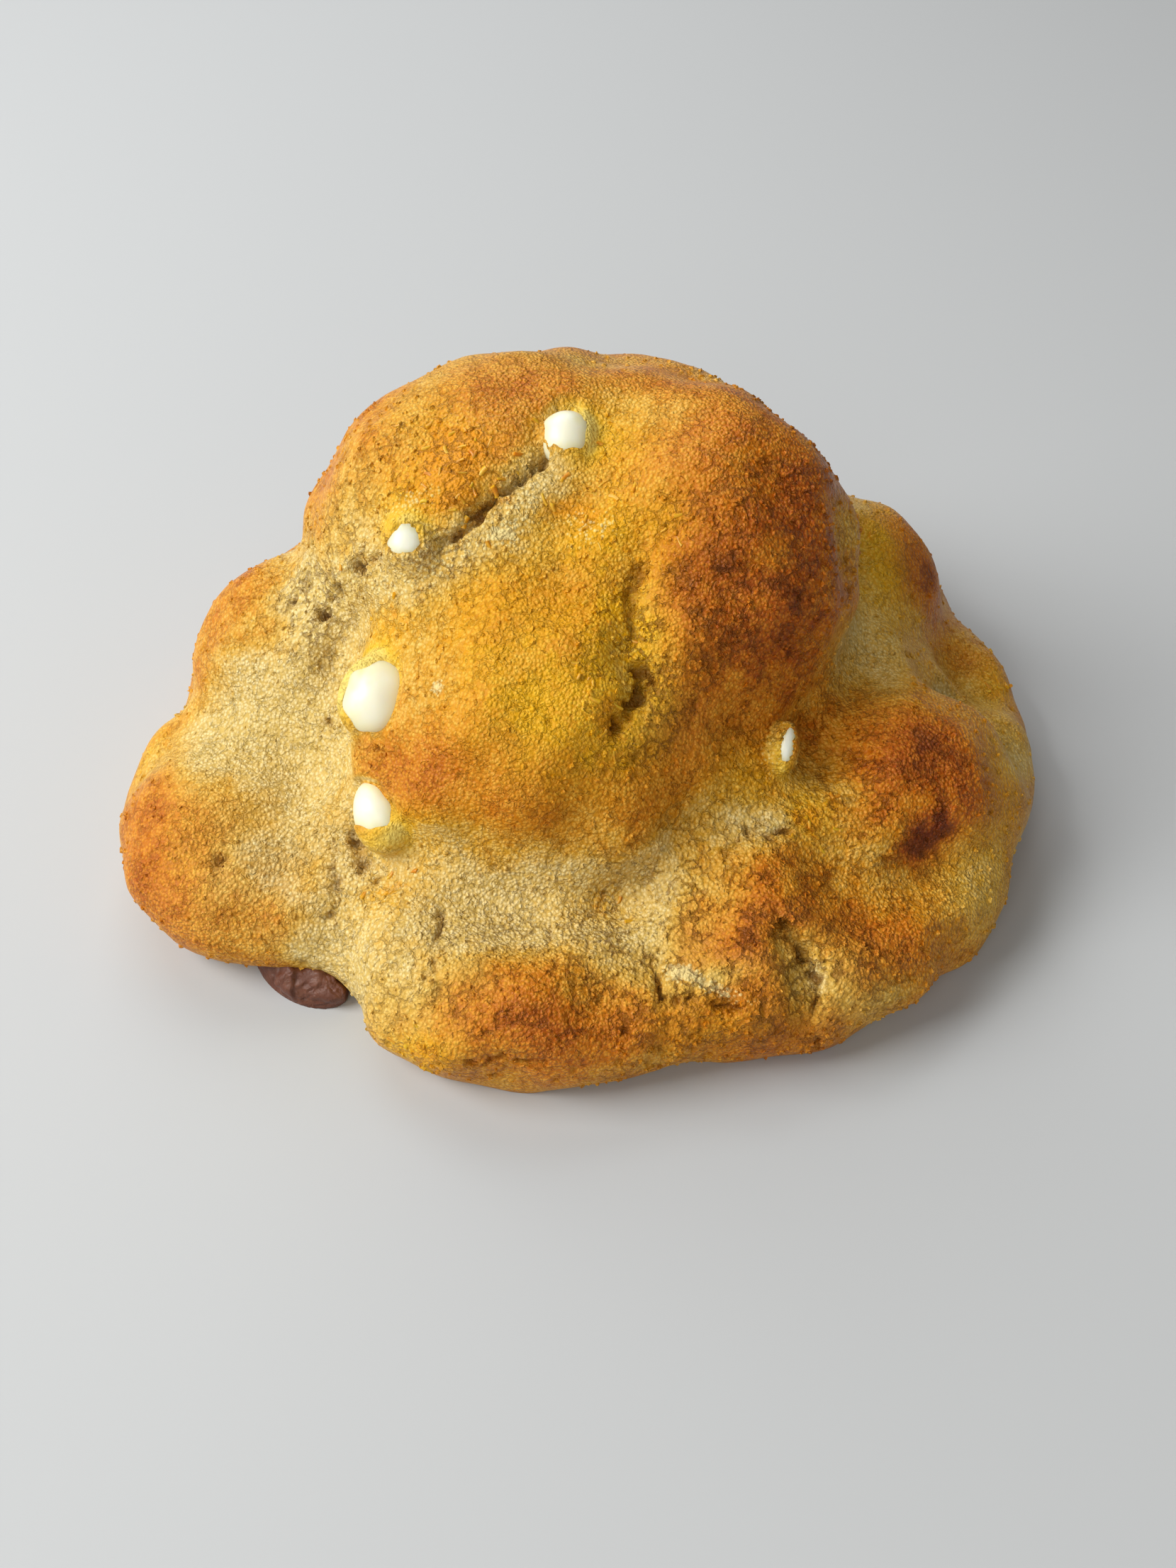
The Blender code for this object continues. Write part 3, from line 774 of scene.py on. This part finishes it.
def dough_material():
    """Baked crust: pale damp dough through golden to brown, with zest and red patches, painted shade in its
    splits, pores and a few patches, and a little painted sheen.
    """
    material, tree, surface = food_material("baked_dough", DOUGH_ROUGHNESS)
    surface.inputs["Specular IOR Level"].default_value = DOUGH_SPECULAR
    crumb = add_crumb(tree, surface, 2600.0, 0.9, 0.0003)
    masks = {kind: node(tree, "ShaderNodeAttribute", {"attribute_name": kind}).outputs["Fac"]
             for kind in (*PATCHES, "raised", "film", "painted_crack_shade")}
    grain = crumb.outputs["Grain"]
    mottle = sums(tree, "SUBTRACT", crumb.outputs["Mottle"], 0.5)
    blotch = sums(tree, "SUBTRACT", crumb.outputs["Blotch"], 0.5)
    # Bake follows the browned mask, which holds painted shade on the face and in the recess under the right
    # bulge, as the red mask does there. The pale mask holds painted sheen on the left lobe and the top edge.
    bake = plus(tree, masks["browned_and_shade"], masks["raised"], 0.46)
    bake = plus(tree, bake, blotch, 0.5)
    bake = plus(tree, bake, mottle, 0.3)
    bake = plus(tree, bake, masks["pale"], -0.5, clamp=True)
    colour = baked_ramp(tree, bake, CRUST_COLOURS)
    colour = mixed(tree, times(tree, masks["pale"], 0.5), colour, TINTS["pale"])
    stringy = times(tree, plus(tree, 1.0, blotch, 2.4), masks["yellow"], clamp=True)
    colour = mixed(tree, stringy, colour, TINTS["yellow"])
    colour = mixed(tree, times(tree, masks["red"], 0.3), colour, TINTS["red"])
    grains = baked_ramp(tree, bake, GRAIN_COLOURS)
    grains = mixed(tree, times(tree, masks["yellow"], 0.75), grains, TINTS["yellow_grain"])
    colour = mixed(tree, times(tree, grain, 0.8), colour, grains)
    peel = above(tree, plus(tree, masks["zest"], blotch, 1.8), 0.6, 3.0)
    colour = mixed(tree, times(tree, peel, 0.7), colour, TINTS["peel"])
    creamy = above(tree, plus(tree, masks["cream"], grain, 0.5), 0.6, 2.5)
    colour = mixed(tree, times(tree, creamy, 0.75), colour, TINTS["cream"])
    colour = mixed(tree, times(tree, masks["film"], 0.85), colour, TINTS["film"])
    colour = mixed(tree, above(tree, masks["film"], 0.6, 1.8), colour, TINTS["skin"])
    # Painted shade: pores, fine cracks, split grooves and pits are mixed towards a dark brown.
    painted_pore_shade = times(tree, times(tree, crumb.outputs["Pores"], masks["porous"]), 0.6)
    dark = sums(tree, "MAXIMUM", times(tree, masks["painted_crack_shade"], 0.8), painted_pore_shade)
    colour = mixed(tree, dark, colour, TINTS["painted_crack_shade"])
    gloss = plus(tree, plus(tree, DOUGH_ROUGHNESS, masks["red"], -0.16), mottle, -0.5)
    link(tree, (colour, surface.inputs["Base Color"]), (gloss, surface.inputs["Roughness"]))
    return material


points, faces, masks = dough_shape()
cookie_mesh = bpy.data.meshes.new("cookie_crust")
cookie_mesh.from_pydata((points * MM).tolist(), [], faces)
cookie_mesh.shade_smooth()
for kind, values in masks.items():
    cookie_mesh.attributes.new(kind, "FLOAT", "POINT").data.foreach_set("value", values)
cookie_mesh.materials.append(dough_material())
cookie = add("cookie_crust", cookie_mesh)
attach(cookie, "root")
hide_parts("cookie")

# Loose crumbs. Bits of dough that broke off as the crust cracked and were baked on where they lay. They lie
# thickest along the splits and over the porous crown and front, half sunk, and take the crust's colour there.
CRUMBS_PER_SQUARE_METRE = 1.1e6
CRUMB_HALF_SIZES = (0.00016, 0.00042)
CRUMB_SUNK = 0.0001
CRUMB_SEED = 7
FULL_TURN = 2 * math.pi
LEAN = 0.4


def scatter_tree(name, mask, aligned, make_bit):
    """A Geometry Nodes tree that scatters a small shape over a skin, as thickly as a mask on it says."""
    tree = bpy.data.node_groups.new(name, "GeometryNodeTree")
    tree.interface.new_socket("Skin", in_out="INPUT", socket_type="NodeSocketGeometry")
    for title in ("Per square metre", "Smallest", "Largest", "Sunk"):
        tree.interface.new_socket(title, in_out="INPUT", socket_type="NodeSocketFloat")
    tree.interface.new_socket("Seed", in_out="INPUT", socket_type="NodeSocketInt")
    tree.interface.new_socket("Material", in_out="INPUT", socket_type="NodeSocketMaterial")
    tree.interface.new_socket("Bits", in_out="OUTPUT", socket_type="NodeSocketGeometry")
    ins = tree.nodes.new("NodeGroupInput").outputs
    outs = tree.nodes.new("NodeGroupOutput").inputs
    thick = node(tree, "GeometryNodeInputNamedAttribute", {"data_type": "FLOAT"}, Name=mask)
    scatter = tree.nodes.new("GeometryNodeDistributePointsOnFaces")
    density = times(tree, thick.outputs["Attribute"], ins["Per square metre"])
    down = node(tree, "ShaderNodeVectorMath", {"operation": "SCALE"})
    lower = tree.nodes.new("GeometryNodeSetPosition")
    size = node(tree, "FunctionNodeRandomValue", {"data_type": "FLOAT_VECTOR"})
    turn = node(tree, "FunctionNodeRandomValue", {"data_type": "FLOAT_VECTOR"})
    turn.inputs[0].default_value = (-LEAN, -LEAN, 0) if aligned else (0, 0, 0)
    turn.inputs[1].default_value = (LEAN, LEAN, FULL_TURN) if aligned else [FULL_TURN] * 3
    place = tree.nodes.new("GeometryNodeInstanceOnPoints")
    whole = tree.nodes.new("GeometryNodeRealizeInstances")
    paint = tree.nodes.new("GeometryNodeSetMaterial")
    rotation = turn.outputs[0]
    if aligned:
        spin = node(tree, "FunctionNodeRotateRotation", {"rotation_space": "LOCAL"})
        link(tree, (scatter.outputs["Rotation"], spin.inputs["Rotation"]),
             (rotation, spin.inputs["Rotate By"]))
        rotation = spin.outputs["Rotation"]
    link(tree, (ins["Skin"], scatter.inputs["Mesh"]), (density, scatter.inputs["Density"]),
         (ins["Seed"], scatter.inputs["Seed"]), (scatter.outputs["Normal"], down.inputs[0]),
         (times(tree, ins["Sunk"], -1.0), down.inputs["Scale"]),
         (scatter.outputs["Points"], lower.inputs["Geometry"]), (down.outputs[0], lower.inputs["Offset"]),
         (ins["Smallest"], size.inputs[0]), (ins["Largest"], size.inputs[1]),
         (ins["Seed"], size.inputs["Seed"]), (lower.outputs["Geometry"], place.inputs["Points"]),
         (make_bit(tree), place.inputs["Instance"]), (rotation, place.inputs["Rotation"]),
         (size.outputs[0], place.inputs["Scale"]), (place.outputs["Instances"], whole.inputs["Geometry"]),
         (whole.outputs["Geometry"], paint.inputs["Geometry"]), (ins["Material"], paint.inputs["Material"]),
         (paint.outputs["Geometry"], outs["Bits"]))
    return tree


def scattered(name, tree, values):
    """A plain mesh of what a tree scatters over the crust."""
    piece = add(name, cookie_mesh)
    modifier = piece.modifiers.new("scatter", "NODES")
    modifier.node_group = tree
    for socket in tree.interface.items_tree:
        if socket.name in values:
            modifier[socket.identifier] = values[socket.name]
    evaluated = bpy.context.evaluated_depsgraph_get()
    mesh = bpy.data.meshes.new_from_object(
        piece.evaluated_get(evaluated), preserve_all_data_layers=True, depsgraph=evaluated)
    piece.modifiers.clear()
    piece.data = mesh
    return piece


def crumb_bit(tree):
    """One crumb: a ball of twenty faces, knocked out of round."""
    ball = node(tree, "GeometryNodeMeshIcoSphere", Radius=1.0, Subdivisions=1)
    dents = node(tree, "ShaderNodeTexNoise", Scale=1.7)
    shift = node(tree, "ShaderNodeVectorMath", {"operation": "SUBTRACT"})
    shift.inputs[1].default_value = (0.5, 0.5, 0.5)
    knocked = tree.nodes.new("GeometryNodeSetPosition")
    link(tree, (ball.outputs["Mesh"], knocked.inputs["Geometry"]),
         (dents.outputs["Color"], shift.inputs[0]), (shift.outputs[0], knocked.inputs["Offset"]))
    return knocked.outputs["Geometry"]


crumb_values = {
    "Per square metre": CRUMBS_PER_SQUARE_METRE, "Smallest": CRUMB_HALF_SIZES[0],
    "Largest": CRUMB_HALF_SIZES[1], "Sunk": CRUMB_SUNK, "Seed": CRUMB_SEED,
    "Material": cookie_mesh.materials[0]}
crumbs = scattered("loose_crumbs", scatter_tree("loose_crumbs", "loose", False, crumb_bit), crumb_values)
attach(crumbs, "root")

# Lemon zest. Fine shreds of peel that were mixed in the dough, showing as bright orange yellow slivers where
# they came to the surface: on the left of the crown, down the right of the face and at the rim.
SHREDS_PER_SQUARE_METRE = 2.6e5
SHRED_SIZES = (0.0007, 0.0020)
SHRED_SUNK = 0.00007
SHRED_SEED = 11
SHRED_BEND = 0.7
SHRED_THICKNESS = 0.16
SHRED_MIDDLE = (0.94, 0.34, 0)


def shred_bit(tree):
    """One shred: a bent rod with five sides and closed ends."""
    arc = node(tree, "GeometryNodeCurveArc", Resolution=6, Radius=1.0)
    arc.inputs["Sweep Angle"].default_value = SHRED_BEND
    ring = node(tree, "GeometryNodeCurvePrimitiveCircle", Resolution=5, Radius=SHRED_THICKNESS)
    rod = tree.nodes.new("GeometryNodeCurveToMesh")
    rod.inputs["Fill Caps"].default_value = True
    middle = tree.nodes.new("GeometryNodeTransform")
    middle.inputs["Translation"].default_value = [-distance for distance in SHRED_MIDDLE]
    link(tree, (arc.outputs["Curve"], rod.inputs["Curve"]),
         (ring.outputs["Curve"], rod.inputs["Profile Curve"]),
         (rod.outputs["Mesh"], middle.inputs["Geometry"]))
    return middle.outputs["Geometry"]


ZEST_DARK = srgb(222, 134, 12)
ZEST_LIGHT = srgb(242, 186, 36)


def zest_material():
    """Lemon zest: orange yellow, a little see-through and half glossy from its oil."""
    material, tree, surface = food_material(
        "lemon_zest", 0.38, Weight=0.4, Radius=(1.0, 0.6, 0.1), Scale=0.0012)
    place = tree.nodes.new("ShaderNodeTexCoord").outputs["Object"]
    shade = node(tree, "ShaderNodeTexNoise", Scale=500.0, Detail=2.0)
    link(tree, (place, shade.inputs["Vector"]))
    colour = mixed(tree, above(tree, shade.outputs["Fac"], 0.35, 3.0), ZEST_DARK, ZEST_LIGHT)
    link(tree, (colour, surface.inputs["Base Color"]))
    return material


shred_values = {
    "Per square metre": SHREDS_PER_SQUARE_METRE, "Smallest": SHRED_SIZES[0], "Largest": SHRED_SIZES[1],
    "Sunk": SHRED_SUNK, "Seed": SHRED_SEED, "Material": zest_material()}
zest = scattered("zest_shreds", scatter_tree("zest_shreds", "zest", True, shred_bit), shred_values)
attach(zest, "root")

# White chocolate chips. Smooth waxy drops, softened in the oven, each seated in the dough with a film of it
# drawn over one side and stained yellow there.
CHIP_DETAIL = 5
CHIP_DENTS = (2.6, 0.14)
CHIP_COLOUR = srgb(250, 248, 228)
CHIP_SHADE = srgb(244, 236, 200)
CHIP_STAIN = srgb(246, 230, 148)


def chip_material():
    """White chocolate: creamy, smooth, a little glossy, and yellow where the film of dough touches it."""
    material, tree, surface = food_material(
        "white_chocolate", 0.36, Weight=0.5, Radius=(1.0, 0.8, 0.5), Scale=0.0025)
    stain = node(tree, "ShaderNodeAttribute", {"attribute_name": "stain"}).outputs["Fac"]
    place = tree.nodes.new("ShaderNodeTexCoord").outputs["Object"]
    cloud = node(tree, "ShaderNodeTexNoise", Scale=420.0, Detail=3.0)
    bump = node(tree, "ShaderNodeBump", Strength=0.25, Distance=0.0003)
    link(tree, (place, cloud.inputs["Vector"]), (cloud.outputs["Fac"], bump.inputs["Height"]),
         (bump.outputs["Normal"], surface.inputs["Normal"]))
    colour = mixed(tree, times(tree, cloud.outputs["Fac"], 0.35), CHIP_COLOUR, CHIP_SHADE)
    link(tree, (mixed(tree, stain, colour, CHIP_STAIN), surface.inputs["Base Color"]))
    return material


def moulded(name, detail, make_points, *values):
    """A smooth closed mesh and its points in millimetres, which a function makes from a unit ball's."""
    shape = bmesh.new()
    bmesh.ops.create_icosphere(shape, subdivisions=detail, radius=1)
    points = make_points(np.array([vertex.co for vertex in shape.verts]), *values)
    for vertex, position in zip(shape.verts, points):
        vertex.co = position * MM
    bmesh.ops.recalc_face_normals(shape, faces=shape.faces)
    mesh = bpy.data.meshes.new(name)
    shape.to_mesh(mesh)
    shape.free()
    mesh.shade_smooth()
    return mesh, points


def chip_points(ball, name):
    """A chip's points: a tapered ball, turned, put in its place and dented a little."""
    centre, radii, _ = CHIPS[name]
    taper = 1 - CHIP_TAPER * ball[:, 2:]
    drop = ball * radii * np.hstack([taper, taper, np.ones_like(taper)])
    drop = np.array(centre) + drop @ chip_turn(name).T
    return drop + ball @ chip_turn(name).T * (noise_at(drop, CHIP_DENTS[0], 51) * CHIP_DENTS[1])[:, None]


white_chocolate = chip_material()
for name in CHIPS:
    chip_mesh, drop = moulded(name + "_chocolate", CHIP_DETAIL, chip_points, name)
    rim = np.exp(-np.square(np.clip(seated_distance(drop), 0, None) / 0.5))
    stain = np.clip(1.6 * film_side(drop, name) - 0.4 + 0.4 * noise_at(drop, 1.1, 52), 0, 1)
    stain = np.maximum(0.9 * stain, 0.5 * rim)
    chip_mesh.attributes.new("stain", "FLOAT", "POINT").data.foreach_set("value", stain)
    chip_mesh.materials.append(white_chocolate)
    chip = add(name + "_chocolate", chip_mesh)
    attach(chip, "root")
    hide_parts(name)

# Filling leak. Cheesecake filling that ran out under the rim and caramelised on the tray: a sticky reddish
# brown lump, lying flat on the floor and tucked under the dough.
LEAK_START = np.array([-33.4, -33.8, 1.0])
LEAK_CENTRE = np.array([-31.6, -32.4, 1.4])
LEAK_RADII = (7.0, 3.9, 3.2)
LEAK_TURN = -38.0
LEAK_DETAIL = 6
LEAK_REACH = 14.0
LEAK_STEPS = 60
LEAK_FOLDS = (3.0, 1.2)
LEAK_WRINKLES = (1.1, 0.4)
LEAK_SHRINK = 0.8
LEAK_DARK = srgb(70, 28, 16)
LEAK_LIGHT = srgb(120, 70, 46)
LEAK_GRAIN = srgb(124, 78, 54)


def leak_distance(points):
    """About how far each point is outside the leak, which ends at the floor and just inside the dough."""
    offset = points - LEAK_CENTRE
    along, across = turned(offset[:, 0], offset[:, 1], LEAK_TURN)
    lump = ellipsoid_distance(np.stack([along, across, offset[:, 2]], axis=1), (0, 0, 0), LEAK_RADII)
    return np.maximum(lump, -points[:, 2])


def leak_points(ball):
    """The leak's points: found along lines from inside it, then wrinkled wherever they are off the floor."""
    lump = LEAK_START + ball * reach_along(leak_distance, LEAK_START, ball, LEAK_REACH, LEAK_STEPS)[:, None]
    wrinkles = noise_at(lump, LEAK_FOLDS[0], 61) * LEAK_FOLDS[1]
    wrinkles = wrinkles + noise_at(lump, LEAK_WRINKLES[0], 62) * LEAK_WRINKLES[1] - LEAK_SHRINK
    lump = lump + ball * (wrinkles * np.clip(lump[:, 2], 0, 1))[:, None]
    lump[:, 2] = np.maximum(lump[:, 2], 0)
    return lump


def leak_material():
    """Caramelised filling: red brown and darker in its dents, half glossy and finely wrinkled."""
    material, tree, surface = food_material(
        "caramelised_filling", 0.5, Weight=0.1, Radius=(1.0, 0.3, 0.15), Scale=0.001)
    crumb = add_crumb(tree, surface, 900.0, 0.6, 0.0004)
    colour = mixed(tree, crumb.outputs["Mottle"], LEAK_DARK, LEAK_LIGHT)
    colour = mixed(tree, times(tree, crumb.outputs["Grain"], 0.4), colour, LEAK_GRAIN)
    link(tree, (colour, surface.inputs["Base Color"]))
    return material


leak_mesh, _ = moulded("caramelised_leak", LEAK_DETAIL, leak_points)
leak_mesh.materials.append(leak_material())
leak = add("caramelised_leak", leak_mesh)
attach(leak, "root")
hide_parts("filling_leak")
